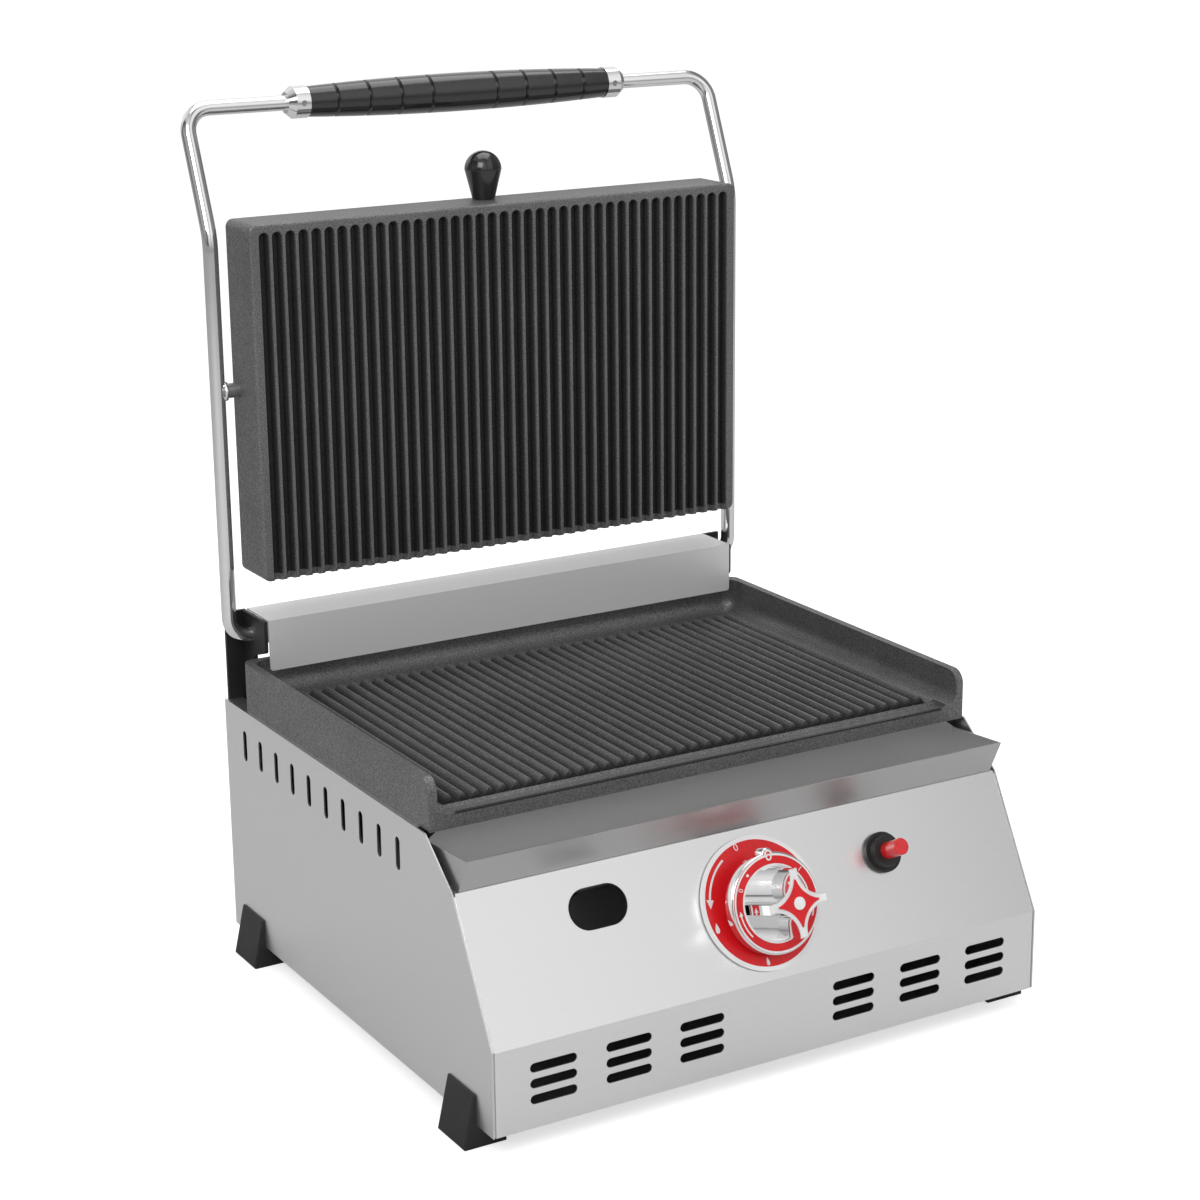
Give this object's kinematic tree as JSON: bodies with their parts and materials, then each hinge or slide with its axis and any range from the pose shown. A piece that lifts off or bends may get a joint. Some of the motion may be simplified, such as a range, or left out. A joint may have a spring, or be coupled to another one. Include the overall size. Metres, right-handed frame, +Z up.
{
  "type": "gas sandwich toaster",
  "caption": "Countertop gas sandwich toaster with a ribbed iron plate, a hinged counterbalanced lid plate, a grease tray, a push and turn gas knob and a push igniter.",
  "frame": {"origin": "middle of the bounding box on the table plane, under the feet", "axes": "+X to the right as seen by the user, -Y out of the control panel towards the user, +Z up"},
  "size_m": [0.418, 0.4354, 0.5865],
  "materials": {
    "stainless": "brushed stainless sheet, satin",
    "inner_steel": "plain steel sheet, dull",
    "cast_iron": "grainy cast iron, dark grey",
    "chrome": "polished chrome plate",
    "weld_steel": "bare turned steel",
    "fasteners": "zinc plated steel",
    "black_satin": "satin black paint",
    "black_feet": "satin black moulded plastic",
    "black_gloss": "glossy black moulded plastic",
    "igniter_black": "black moulded plastic",
    "red_button": "glossy red moulded plastic",
    "dial_red": "printed red, semi gloss",
    "white_mark": "white printed mark",
    "knob_chrome": "chrome plated moulding",
    "brass": "turned brass",
    "pipe_metal": "drawn metal tube",
    "ceramic_white": "white glazed insulator",
    "lead_grey": "rubber insulated lead"
  },
  "bodies": {
    "body": {"base_pan": "inner_steel", "bracket_bolts": "fasteners", "burner_left": "inner_steel", "burner_right": "inner_steel", "burner_support_front": "inner_steel", "burner_support_rear": "inner_steel", "dial_plate": "dial_red", "feed_pipe": "pipe_metal", "foot_front_left": "black_feet", "foot_front_right": "black_feet", "foot_rear_left": "black_feet", "foot_rear_right": "black_feet", "foot_screws": "fasteners", "front_panel": "stainless", "gas_inlet": "brass", "gas_valve_body": "brass", "heat_shield": "inner_steel", "hinge_bracket_left": "black_satin", "hinge_bracket_right": "black_satin", "hinge_bush_left": "igniter_black", "hinge_bush_right": "igniter_black", "hinge_cover": "stainless", "igniter_body": "igniter_black", "igniter_nut": "weld_steel", "igniter_spring": "weld_steel", "ignition_lead": "lead_grey", "injectors": "brass", "lid_spring_left": "weld_steel", "lid_spring_right": "weld_steel", "lower_plate": "cast_iron", "rear_panel": "inner_steel", "rear_panel_screws": "fasteners", "riser_nut": "brass", "side_panel_left": "stainless", "side_panel_right": "stainless", "spark_electrode": "ceramic_white", "supply_pipe": "pipe_metal", "thermocouple": "pipe_metal", "valve_spring": "weld_steel"},
    "lid": {"handle_frame": "chrome", "pivot_pin_left": "weld_steel", "pivot_pin_right": "weld_steel", "hinge_collars": "weld_steel", "hinge_collar_screws": "fasteners", "grip_collar_left": "chrome", "grip_collar_right": "chrome", "grip_set_screws": "fasteners"},
    "upper": {"upper_plate": "cast_iron", "pear_knob": "black_gloss", "pear_knob_stud": "weld_steel"},
    "grip": {"handle_grip": "black_gloss"},
    "plunger": {"valve_plunger": "brass"},
    "knob": {"knob_body": "knob_chrome", "knob_ring": "dial_red", "knob_star_inlay": "dial_red", "knob_centre_dot": "white_mark", "valve_stem": "weld_steel"},
    "button": {"igniter_button": "red_button"},
    "tray": {"grease_tray": "stainless"}
  },
  "joints": [
    {"name": "lid_hinge", "type": "hinge", "parent": "body", "child": "lid", "pos_m": [0, 0.17172, 0.226], "axis": [1, 0, 0], "range_deg": [0, 88], "stiffness_Nm_per_rad": 6, "springref_deg": -29.79},
    {"name": "upper_plate_tilt", "type": "hinge", "parent": "lid", "child": "upper", "pos_m": [0, 0.17172, 0.3935], "axis": [1, 0, 0], "range_deg": [-2, 6]},
    {"name": "grip_spin", "type": "hinge", "parent": "lid", "child": "grip", "pos_m": [0, 0.20472, 0.5735], "axis": [1, 0, 0], "continuous": true},
    {"name": "valve_push", "type": "slide", "parent": "body", "child": "plunger", "axis": [0, 0.9432, -0.3323], "range_m": [0, 0.004], "stiffness_N_per_m": 900, "springref_m": -0.005},
    {"name": "knob_turn", "type": "hinge", "parent": "plunger", "child": "knob", "pos_m": [0, -0.16878, 0.1101], "axis": [0, -0.9432, 0.3323], "range_deg": [0, 210]},
    {"name": "igniter_press", "type": "slide", "parent": "body", "child": "button", "axis": [0, 0.8796, -0.4757], "range_m": [0, 0.006], "stiffness_N_per_m": 500, "springref_m": -0.004},
    {"name": "tray_slide", "type": "slide", "parent": "body", "child": "tray", "axis": [0, -1, 0], "range_m": [0, 0.045]}
  ]
}
